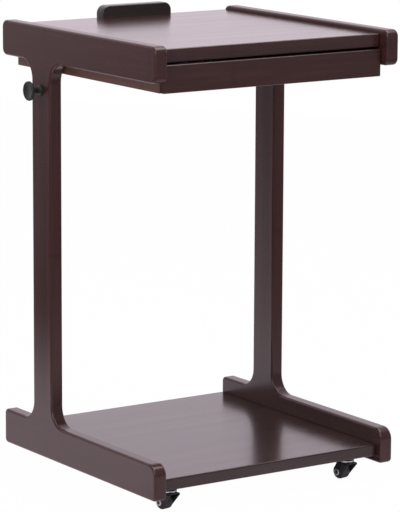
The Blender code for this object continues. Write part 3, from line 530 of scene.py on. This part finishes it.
# Satin black coating over turned steel: dark grey with a broad highlight, a fine speckle, and rings about
# the hook's axis 0.5 mm apart.
RING_SPACING = 0.0005
SPECKLE = 0.0011
# Besides the hook and the forks, this black also paints shade into the casters' rivet dimples and bearing
# races.
black_coat_and_painted_shade, coat_tree = new_material("satin_black_coated_steel")
coat_place = add_node(coat_tree, "ShaderNodeTexCoord")
coat_centre = add_node(coat_tree, "ShaderNodeMapping", {"Location": -hook_end},
                       {"Vector": coat_place.outputs["Object"]})
coat_rings = add_node(coat_tree, "ShaderNodeTexWave",
                      {"wave_type": "RINGS", "rings_direction": "X", "Scale": 1 / (20 * RING_SPACING)},
                      {"Vector": coat_centre.outputs[0]})
coat_speckle = add_node(coat_tree, "ShaderNodeTexNoise", {"Scale": 1 / SPECKLE, "Detail": 2.0},
                        {"Vector": coat_place.outputs["Object"]})
coat_colour = add_node(coat_tree, "ShaderNodeMix",
                       {"data_type": "RGBA", 6: tone("#1E201F"), 7: tone("#323533")},
                       {0: coat_speckle.outputs[0]})
coat_gloss = add_node(coat_tree, "ShaderNodeMapRange", {"To Min": 0.30, "To Max": 0.44},
                      {0: coat_speckle.outputs[0]})
coat_relief = add_node(coat_tree, "ShaderNodeMath", {"operation": "MULTIPLY_ADD", 1: 0.6},
                       {0: coat_rings.outputs["Fac"], 2: coat_speckle.outputs[0]})
coat_bump = add_node(coat_tree, "ShaderNodeBump", {"Strength": 0.15, "Distance": 0.0001},
                     {"Height": coat_relief.outputs[0]})
coat_shader = add_node(coat_tree, "ShaderNodeBsdfPrincipled", {"IOR": 1.5},
                       {"Base Color": coat_colour.outputs[2], "Roughness": coat_gloss.outputs[0],
                        "Normal": coat_bump.outputs[0]})
add_node(coat_tree, "ShaderNodeOutputMaterial", None, {0: coat_shader.outputs[0]})
for piece, node in ((hook, "hook_peg"), (flange, "hook_flange")):
    piece.data.materials.append(black_coat_and_painted_shade)
    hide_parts(node)
    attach(piece, "frame")


# Casters. Each has a stamped zinc plate with a bearing ring, screwed under the base panel, a fork bent from
# black sheet that turns on a riveted kingpin, and a rubber tyre on a bright hub that turns on a hollow rivet.

PLATE_SCREW_SPACING = 0.027
SCREW_HEAD_RADIUS = 0.0033
SCREW_HEAD_EDGE = 0.0003
SCREW_HEAD_DEPTH = 0.0015
SCREW_SHANK_RADIUS = 0.0018
SLOT_REACH = 0.0020
SLOT_HALF_WIDTH = 0.0004
SLOT_DEPTH = 0.0008
TYRE_SHOULDER = 0.0026
TYRE_FIT = 0.0002
GROOVE_INSIDE = 0.0008
GROOVE_OUTSIDE = 0.0016
GROOVE_SLOPE = 0.0002
GROOVE_DEPTH = 0.0003
HUB_RIM = 0.0012
HUB_RIM_EDGE = 0.0003
HUB_RIM_SLOPE = 0.0002
HUB_BOSS_RADIUS = 0.0034
HUB_BOSS_EDGE = 0.0004
HUB_BORE_FIT = 0.0002
HUB_RECESS = 0.0010
AXLE_RADIUS = 0.0020
RIVET_HEAD = 0.0012
RIVET_DIMPLE_RADIUS = 0.0027
RIVET_DIMPLE_DEPTH = 0.0008
RIVET_EDGE = 0.0004
BEARING_RING_HEIGHT = 0.0030
PLATE_SHEET = 0.002
SHEET_EDGE = 0.0003
ALONG_AXLE = (0, 1, 0)

# The back left caster stands square to the table, so it is the one that is made, and the others are copies
master = "back_left_caster"
plate_low, plate_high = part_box(f"{master}_plate")
plate_middle = (plate_low + plate_high) / 2
tyre_low, tyre_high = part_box(f"{master}_tyre")
axle_middle = (tyre_low + tyre_high) / 2
wheel_radius = (tyre_high.z - tyre_low.z) / 2
hub_low, hub_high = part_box(f"{master}_hub")
hub_radius = (hub_high.z - hub_low.z) / 2


def eased_copy(node, name, edge):
    """Copy of a pressed sheet solid with its faces merged and its sheared edges eased."""
    bpy.ops.object.select_all(action="DESELECT")
    bpy.ops.mesh.primitive_cube_add(size=0.01)
    piece = bpy.context.object
    piece.name = name
    piece.data = frame["nodes"][node].data.copy()
    piece.data.name = name
    piece.data.materials.clear()
    bpy.ops.object.mode_set(mode="EDIT")
    bpy.ops.mesh.select_all(action="SELECT")
    bpy.ops.mesh.remove_doubles(threshold=0.00001)
    bpy.ops.mesh.dissolve_limited(angle_limit=radians(1))
    bpy.ops.object.mode_set(mode="OBJECT")
    easing = piece.modifiers.new("sheared_edges", "BEVEL")
    easing.width = edge
    easing.segments = 2
    easing.limit_method = "ANGLE"
    easing.angle_limit = radians(50)
    bpy.ops.object.modifier_apply(modifier=easing.name)
    bpy.ops.object.shade_smooth_by_angle(angle=radians(40))
    return piece


# Zinc plate, bright and slightly cloudy, with fine rolling marks along the strip it was stamped from.
ROLLING_MARK = 0.0008
ROLLING_STRETCH = 12
ZINC_CLOUD = 0.008
zinc, zinc_tree = new_material("bright_zinc_plated_steel")
zinc_place = add_node(zinc_tree, "ShaderNodeTexCoord")
zinc_stretch = add_node(zinc_tree, "ShaderNodeMapping", {"Scale": (1, 1 / ROLLING_STRETCH, 1)},
                        {"Vector": zinc_place.outputs["Object"]})
zinc_marks = add_node(zinc_tree, "ShaderNodeTexNoise", {"Scale": 1 / ROLLING_MARK, "Detail": 2.0},
                      {"Vector": zinc_stretch.outputs[0]})
zinc_cloud = add_node(zinc_tree, "ShaderNodeTexNoise", {"Scale": 1 / ZINC_CLOUD, "Detail": 2.0},
                      {"Vector": zinc_place.outputs["Object"]})
zinc_colour = add_node(zinc_tree, "ShaderNodeMix",
                       {"data_type": "RGBA", 6: tone("#D2D4D6"), 7: tone("#F0F1F2")},
                       {0: zinc_cloud.outputs[0]})
zinc_gloss = add_node(zinc_tree, "ShaderNodeMapRange", {"To Min": 0.22, "To Max": 0.38},
                      {0: zinc_marks.outputs[0]})
zinc_bump = add_node(zinc_tree, "ShaderNodeBump", {"Strength": 0.1, "Distance": 0.0001},
                     {"Height": zinc_marks.outputs[0]})
zinc_shader = add_node(zinc_tree, "ShaderNodeBsdfPrincipled", {"Metallic": 1.0},
                       {"Base Color": zinc_colour.outputs[2], "Roughness": zinc_gloss.outputs[0],
                        "Normal": zinc_bump.outputs[0]})
add_node(zinc_tree, "ShaderNodeOutputMaterial", None, {0: zinc_shader.outputs[0]})

# Moulded rubber, dull and dark grey, with dust in the fine texture of the tread.
TREAD_GRAIN = 0.0009
DUST_PATCH = 0.006
rubber, rubber_tree = new_material("moulded_black_rubber")
rubber_place = add_node(rubber_tree, "ShaderNodeTexCoord")
rubber_grain = add_node(rubber_tree, "ShaderNodeTexNoise", {"Scale": 1 / TREAD_GRAIN, "Detail": 3.0},
                        {"Vector": rubber_place.outputs["Object"]})
rubber_dust = add_node(rubber_tree, "ShaderNodeTexNoise", {"Scale": 1 / DUST_PATCH, "Detail": 2.0},
                       {"Vector": rubber_place.outputs["Object"]})
rubber_colour = add_node(rubber_tree, "ShaderNodeMix",
                         {"data_type": "RGBA", 6: tone("#353637"), 7: tone("#565758")},
                         {0: rubber_dust.outputs[0]})
rubber_gloss = add_node(rubber_tree, "ShaderNodeMapRange", {"To Min": 0.55, "To Max": 0.8},
                        {0: rubber_grain.outputs[0]})
rubber_bump = add_node(rubber_tree, "ShaderNodeBump", {"Strength": 0.25, "Distance": 0.0002},
                       {"Height": rubber_grain.outputs[0]})
rubber_shader = add_node(rubber_tree, "ShaderNodeBsdfPrincipled", {"IOR": 1.52},
                         {"Base Color": rubber_colour.outputs[2], "Roughness": rubber_gloss.outputs[0],
                          "Normal": rubber_bump.outputs[0]})
add_node(rubber_tree, "ShaderNodeOutputMaterial", None, {0: rubber_shader.outputs[0]})

# Bright hub: turned and nickel plated, with faint cutting marks.
CUTTING_MARK = 0.0006
nickel, nickel_tree = new_material("bright_nickel_plated_hub")
nickel_place = add_node(nickel_tree, "ShaderNodeTexCoord")
nickel_marks = add_node(nickel_tree, "ShaderNodeTexNoise", {"Scale": 1 / CUTTING_MARK, "Detail": 2.0},
                        {"Vector": nickel_place.outputs["Object"]})
nickel_colour = add_node(nickel_tree, "ShaderNodeMix",
                         {"data_type": "RGBA", 6: tone("#C4C6C8"), 7: tone("#E2E3E4")},
                         {0: nickel_marks.outputs[0]})
nickel_gloss = add_node(nickel_tree, "ShaderNodeMapRange", {"To Min": 0.26, "To Max": 0.40},
                        {0: nickel_marks.outputs[0]})
nickel_shader = add_node(nickel_tree, "ShaderNodeBsdfPrincipled", {"Metallic": 1.0},
                         {"Base Color": nickel_colour.outputs[2], "Roughness": nickel_gloss.outputs[0]})
add_node(nickel_tree, "ShaderNodeOutputMaterial", None, {0: nickel_shader.outputs[0]})

half = (tyre_high.y - tyre_low.y) / 2
tread = wheel_radius - TYRE_SHOULDER
groove_low = hub_radius + GROOVE_INSIDE
groove_high = hub_radius + GROOVE_OUTSIDE
tyre_side = [
    (hub_radius + TYRE_FIT, half), (groove_low, half), (groove_low + GROOVE_SLOPE, half - GROOVE_DEPTH),
    (groove_high - GROOVE_SLOPE, half - GROOVE_DEPTH), (groove_high, half),
    *arc(tread, half - TYRE_SHOULDER, TYRE_SHOULDER, 90, 0, 8),
]
tyre_far_side = [(radius, -along) for radius, along in reversed(tyre_side)]
tyre_outline = tyre_side + [(wheel_radius, 0.0)] + tyre_far_side + tyre_side[:1]
tyre = lathe("back_left_tyre", tyre_outline, axle_middle, ALONG_AXLE, 72)
hub_half = (hub_high.y - hub_low.y) / 2
rim_inside = hub_radius - HUB_RIM
hub_side = [
    (AXLE_RADIUS + HUB_BORE_FIT, hub_half), (HUB_BOSS_RADIUS - HUB_BOSS_EDGE, hub_half),
    (HUB_BOSS_RADIUS, hub_half - HUB_BOSS_EDGE), (HUB_BOSS_RADIUS, hub_half - HUB_RECESS),
    (rim_inside, hub_half - HUB_RECESS), (rim_inside + HUB_RIM_SLOPE, half - HUB_RIM_EDGE),
    (rim_inside + HUB_RIM_SLOPE + HUB_RIM_EDGE, half),
    (hub_radius - HUB_RIM_EDGE, half), (hub_radius, half - HUB_RIM_EDGE),
]
hub_outline = hub_side + [(radius, -along) for radius, along in reversed(hub_side)] + hub_side[:1]
hub = lathe("back_left_hub", hub_outline, axle_middle, ALONG_AXLE, 72)
axle_low, axle_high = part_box(f"{master}_axle")
axle_half = (axle_high.y - axle_low.y) / 2
rivet_radius = (axle_high.z - axle_low.z) / 2
dimple = axle_half - RIVET_DIMPLE_DEPTH
axle_side = [
    (0.0, dimple), (RIVET_DIMPLE_RADIUS, dimple), (RIVET_DIMPLE_RADIUS, axle_half - RIVET_EDGE),
    *arc(RIVET_DIMPLE_RADIUS + RIVET_EDGE, axle_half - RIVET_EDGE, RIVET_EDGE, 180, 90, 3),
    *arc(rivet_radius - RIVET_HEAD, axle_half - RIVET_HEAD, RIVET_HEAD, 90, 0),
    (AXLE_RADIUS, axle_half - RIVET_HEAD),
]
axle_outline = axle_side + [(radius, -along) for radius, along in reversed(axle_side)]
axle = lathe("back_left_axle", axle_outline, axle_middle, ALONG_AXLE, 40)
fork = eased_copy(f"{master}_fork", "back_left_fork", SHEET_EDGE)
plate = eased_copy(f"{master}_plate", "back_left_plate", SHEET_EDGE)

# One countersunk screw with a cross slot, then four of them joined for each plate.
screw_head = Vector((plate_middle.x, plate_middle.y, plate_high.z - PLATE_SHEET))
screw_outline = [
    (0.0, 0.0), (SCREW_HEAD_RADIUS - SCREW_HEAD_EDGE, 0.0), (SCREW_HEAD_RADIUS, SCREW_HEAD_EDGE),
    (SCREW_SHANK_RADIUS, SCREW_HEAD_DEPTH), (0.0, SCREW_HEAD_DEPTH),
]
screw = lathe("caster_screw", screw_outline, screw_head, (0, 0, 1), 32)
for slot_x, slot_y in ((SLOT_REACH, SLOT_HALF_WIDTH), (SLOT_HALF_WIDTH, SLOT_REACH)):
    slot_half = Vector((slot_x, slot_y, SLOT_DEPTH))
    cut_out(screw, screw_head - slot_half, screw_head + slot_half)
reach = PLATE_SCREW_SPACING / 2
screw_set = [
    copy_of(screw, f"caster_screw_{index}", (x, y, 0))
    for index, (x, y) in enumerate((x, y) for x in (-reach, reach) for y in (-reach, reach))
]
bpy.ops.object.select_all(action="DESELECT")
for one in screw_set:
    one.select_set(True)
bpy.context.view_layer.objects.active = screw_set[0]
bpy.ops.object.join()
screws = screw_set[0]
screws.name = "back_left_plate_screws"
bpy.data.objects.remove(screw)

for piece, finish in (
    (plate, zinc), (screws, zinc), (fork, black_coat_and_painted_shade), (axle, zinc), (tyre, rubber), (hub, nickel),
):
    piece.data.materials.clear()
    piece.data.materials.append(finish)
# Painted shade: the rivet's dimple and the race above the bearing ring are given the black coat in place of
# zinc, to stand for the shadow in the hollow and under the base panel
axle.data.materials.append(black_coat_and_painted_shade)
# Faces inside the rivet's dimple take the second slot, black: painted shade in the hollow
for face in axle.data.polygons:
    from_middle = face.center - axle_middle
    in_shaded_dimple = from_middle.xz.length < RIVET_DIMPLE_RADIUS and abs(from_middle.y) < dimple + NEAR
    face.material_index = int(in_shaded_dimple)
plate.data.materials.append(black_coat_and_painted_shade)
# Faces of the plate from the top of the bearing ring up to the sheet take the second slot, black: painted
# shade under the base panel
shaded_race_low = plate_low.z + BEARING_RING_HEIGHT - SHEET_EDGE
for face in plate.data.polygons:
    face.material_index = int(shaded_race_low < face.center.z < plate_high.z - PLATE_SHEET - SHEET_EDGE)

made_casters = {
    master: {"plate": plate, "screws": screws, "fork": fork, "axle": axle, "tyre": tyre, "hub": hub},
}
swivel = {
    joint["child"]: Vector(joint["pos_m"])
    for joint in frame["joints"] if joint["name"].endswith("_turn")
}
home = swivel["back_left_swivel"]
home_trail = (axle_middle - home).xy
for corner in ("front_left", "front_right", "back_right"):
    away = swivel[f"{corner}_swivel"]
    tyre_middle = sum(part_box(f"{corner}_caster_tyre"), Vector()) / 2
    swing = -home_trail.angle_signed((tyre_middle - away).xy)
    twins = {}
    for kind, piece in made_casters[master].items():
        turn = swing if kind not in ("plate", "screws") else 0.0
        shift = away - Matrix.Rotation(turn, 3, "Z") @ home
        twins[kind] = copy_of(piece, piece.name.replace("back_left", corner), shift, turn)
    made_casters[f"{corner}_caster"] = twins

for caster, kinds in made_casters.items():
    corner = caster.removesuffix("_caster")
    rides = {
        "plate": "frame", "screws": "frame", "fork": f"{corner}_swivel", "axle": f"{corner}_swivel",
        "tyre": f"{corner}_wheel", "hub": f"{corner}_wheel",
    }
    for kind, piece in kinds.items():
        if kind != "screws":
            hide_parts(f"{caster}_{kind}")
        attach(piece, rides[kind])
    dress(f"{caster}_kingpin", zinc)


# Studio. A pale floor and an even white surround, one wide soft lamp overhead and a weaker one at the left.
# The camera sees them white, and the lacquer mirrors a floor that is bright in pools and dim beyond them.

# Paper as the lacquer mirrors it, a trace pinker than white
PAPER = "#FFF2FD"
FLOOR_RADIUS = 3.62
FLOOR_MIDDLE = (-0.8, 1.15, 0)
FLOOR_SHARE = 0.985
# Pool beside the left legs: where it lies, how far it is full and where it ends
LEFT_POOL = (-0.25, 0.35, 0)
LEFT_POOL_FULL = 0.35
LEFT_POOL_END = 0.9
LEFT_POOL_LEVEL = 0.9
# Pool behind the table, to the right of a line along the view, which fades towards the back
VIEW_ACROSS = (0.83, 0.56, 0)
BACK_POOL_NEAR = 1.2
BACK_POOL_FAR = 3.2
BACK_POOL_LEVELS = (0.75, 0.4)
POOL_BLUR = 0.2
# Pool in front of the table, which fades with the distance squared
FRONT_POOL = (0.1, -0.3, 0)
FRONT_POOL_END = 1.7
FRONT_POOL_LEVEL = 0.84
# The base panel keeps light from the floor below it
SHADE_INSIDE = 0.12
SHADE_OUTSIDE = 0.20
SHADE_LEVEL = 0.1

bpy.ops.object.select_all(action="DESELECT")
bpy.ops.mesh.primitive_circle_add(vertices=96, radius=FLOOR_RADIUS, fill_type="NGON", location=FLOOR_MIDDLE)
floor = bpy.context.object
floor.name = "studio_floor"
bpy.ops.object.transform_apply(location=True, rotation=True, scale=True)
floor_white, floor_tree = new_material("white_studio_floor")
floor_path = add_node(floor_tree, "ShaderNodeLightPath")
floor_place = add_node(floor_tree, "ShaderNodeTexCoord")
floor_reach = add_node(floor_tree, "ShaderNodeVectorMath", {"operation": "DISTANCE", 1: LEFT_POOL},
                       {0: floor_place.outputs["Object"]})
floor_near = add_node(floor_tree, "ShaderNodeMapRange",
                      {"From Min": LEFT_POOL_FULL, "From Max": LEFT_POOL_END,
                       "To Min": LEFT_POOL_LEVEL, "To Max": 0.0},
                      {0: floor_reach.outputs["Value"]})
floor_across = add_node(floor_tree, "ShaderNodeVectorMath", {"operation": "DOT_PRODUCT", 1: VIEW_ACROSS},
                        {0: floor_place.outputs["Object"]})
floor_sweep = add_node(floor_tree, "ShaderNodeMapRange", {"From Min": 0.0, "From Max": POOL_BLUR},
                       {0: floor_across.outputs["Value"]})
floor_split = add_node(floor_tree, "ShaderNodeSeparateXYZ", None, {0: floor_place.outputs["Object"]})
floor_behind = add_node(floor_tree, "ShaderNodeMapRange", {"From Min": -POOL_BLUR, "From Max": POOL_BLUR},
                        {0: floor_split.outputs["Y"]})
floor_far = add_node(floor_tree, "ShaderNodeMapRange",
                     {"From Min": BACK_POOL_NEAR, "From Max": BACK_POOL_FAR,
                      "To Min": BACK_POOL_LEVELS[0], "To Max": BACK_POOL_LEVELS[1]},
                     {0: floor_split.outputs["Y"]})
floor_beyond = add_node(floor_tree, "ShaderNodeMath", {"operation": "MULTIPLY"},
                        {0: floor_behind.outputs[0], 1: floor_far.outputs[0]})
floor_back = add_node(floor_tree, "ShaderNodeMath", {"operation": "MULTIPLY"},
                      {0: floor_sweep.outputs[0], 1: floor_beyond.outputs[0]})
floor_ahead = add_node(floor_tree, "ShaderNodeVectorMath", {"operation": "DISTANCE", 1: FRONT_POOL},
                       {0: floor_place.outputs["Object"]})
floor_fall = add_node(floor_tree, "ShaderNodeMapRange",
                      {"From Max": FRONT_POOL_END, "To Min": FRONT_POOL_LEVEL, "To Max": 0.0},
                      {0: floor_ahead.outputs["Value"]})
floor_front = add_node(floor_tree, "ShaderNodeMath", {"operation": "POWER", 1: 2.0},
                       {0: floor_fall.outputs[0]})
floor_sides = add_node(floor_tree, "ShaderNodeMath", {"operation": "MAXIMUM"},
                       {0: floor_near.outputs[0], 1: floor_back.outputs[0]})
floor_open = add_node(floor_tree, "ShaderNodeMath", {"operation": "MAXIMUM"},
                      {0: floor_sides.outputs[0], 1: floor_front.outputs[0]})
floor_aside = add_node(floor_tree, "ShaderNodeMath", {"operation": "ABSOLUTE"}, {0: floor_split.outputs["X"]})
floor_along = add_node(floor_tree, "ShaderNodeMath", {"operation": "ABSOLUTE"}, {0: floor_split.outputs["Y"]})
floor_edge = add_node(floor_tree, "ShaderNodeMath", {"operation": "MAXIMUM"},
                      {0: floor_aside.outputs[0], 1: floor_along.outputs[0]})
floor_shade = add_node(floor_tree, "ShaderNodeMapRange",
                       {"From Min": SHADE_INSIDE, "From Max": SHADE_OUTSIDE, "To Min": SHADE_LEVEL},
                       {0: floor_edge.outputs[0]})
floor_level = add_node(floor_tree, "ShaderNodeMath", {"operation": "MULTIPLY"},
                       {0: floor_open.outputs[0], 1: floor_shade.outputs[0]})
floor_seen = add_node(floor_tree, "ShaderNodeMath", {"operation": "MAXIMUM"},
                      {0: floor_path.outputs["Is Camera Ray"], 1: floor_path.outputs["Is Transmission Ray"]})
floor_strength = add_node(floor_tree, "ShaderNodeMix", {"data_type": "FLOAT", 3: 1.0},
                          {0: floor_seen.outputs[0], 2: floor_level.outputs[0]})
floor_any = add_node(floor_tree, "ShaderNodeMath", {"operation": "MAXIMUM"},
                     {0: floor_seen.outputs[0], 1: floor_path.outputs["Is Glossy Ray"]})
floor_share = add_node(floor_tree, "ShaderNodeMath", {"operation": "MULTIPLY", 1: FLOOR_SHARE},
                       {0: floor_any.outputs[0]})
floor_matt = add_node(floor_tree, "ShaderNodeBsdfDiffuse", {"Color": tone("#EDEDED")})
floor_colour = add_node(floor_tree, "ShaderNodeMix",
                        {"data_type": "RGBA", 6: tone(PAPER), 7: tone("#FFFFFF")},
                        {0: floor_seen.outputs[0]})
floor_glow = add_node(floor_tree, "ShaderNodeEmission", None,
                      {"Color": floor_colour.outputs[2], "Strength": floor_strength.outputs[0]})
floor_mix = add_node(floor_tree, "ShaderNodeMixShader", None,
                     {0: floor_share.outputs[0], 1: floor_matt.outputs[0], 2: floor_glow.outputs[0]})
add_node(floor_tree, "ShaderNodeOutputMaterial", None, {0: floor_mix.outputs[0]})
floor.data.materials.append(floor_white)

# The white backdrop stands behind the table, away from the camera, and fades out around it.
BACKDROP = (0.55, 0.82, 0.18)
BACKDROP_LEVEL = 0.95
AROUND_LEVEL = 0.2
FILL_LEVEL = 0.5
world = bpy.data.worlds.new("white_studio")
bpy.context.scene.world = world
world.use_nodes = True
world.node_tree.nodes.clear()
air = world.node_tree
air_path = add_node(air, "ShaderNodeLightPath")
air_seen = add_node(air, "ShaderNodeMath", {"operation": "MAXIMUM"},
                    {0: air_path.outputs["Is Camera Ray"], 1: air_path.outputs["Is Transmission Ray"]})
air_place = add_node(air, "ShaderNodeTexCoord")
air_facing = add_node(air, "ShaderNodeVectorMath", {"operation": "DOT_PRODUCT", 1: BACKDROP},
                      {0: air_place.outputs["Generated"]})
air_backdrop = add_node(air, "ShaderNodeMapRange",
                        {"interpolation_type": "SMOOTHSTEP", "To Min": AROUND_LEVEL,
                         "To Max": BACKDROP_LEVEL},
                        {0: air_facing.outputs["Value"]})
air_fill = add_node(air, "ShaderNodeMix", {"data_type": "FLOAT", 2: FILL_LEVEL},
                    {0: air_path.outputs["Is Glossy Ray"], 3: air_backdrop.outputs[0]})
air_level = add_node(air, "ShaderNodeMix", {"data_type": "FLOAT", 3: 1.0},
                     {0: air_seen.outputs[0], 2: air_fill.outputs[0]})
air_colour = add_node(air, "ShaderNodeMix", {"data_type": "RGBA", 6: tone(PAPER), 7: tone("#FFFFFF")},
                      {0: air_seen.outputs[0]})
air_light = add_node(air, "ShaderNodeBackground", None,
                     {"Color": air_colour.outputs[2], "Strength": air_level.outputs[0]})
add_node(air, "ShaderNodeOutputWorld", None, {0: air_light.outputs[0]})

for name, place, aim, width, watts in (
    ("overhead_softbox", (0.2, -0.3, 2.6), (0, 0, 0.4), 2.2, 45),
    ("left_softbox", (-2.4, -1.2, 1.4), (0, 0, 0.35), 1.6, 18),
):
    lamp = bpy.data.lights.new(name, "AREA")
    lamp.size = width
    lamp.energy = watts
    holder = bpy.data.objects.new(name, lamp)
    bpy.context.scene.collection.objects.link(holder)
    holder.location = place
    holder.rotation_euler = (Vector(aim) - Vector(place)).to_track_quat("-Z", "Y").to_euler()

# Camera: a long lens from the front left, a little above the top of the table.
CAMERA_PLACE = (-2.359479, -3.521044, 1.113465)
LENS_MM = 210.548
SENSOR_MM = 36
camera_lens = bpy.data.cameras.new("photo_camera")
camera_lens.sensor_width = SENSOR_MM
camera_lens.lens = LENS_MM
camera_lens.clip_end = 50
camera = bpy.data.objects.new("photo_camera", camera_lens)
bpy.context.scene.collection.objects.link(camera)
camera_right = Vector((0.8306071, -0.5568405, 0.0045293))
camera_up = Vector((0.0990879, 0.1557979, 0.9828065))
camera_back = Vector((-0.5479721, -0.8158772, 0.1845831))
camera_turn = Matrix((camera_right, camera_up, camera_back)).transposed()
camera.matrix_world = Matrix.Translation(CAMERA_PLACE) @ camera_turn.to_4x4()
bpy.context.scene.camera = camera
bpy.context.scene.view_settings.view_transform = "Standard"
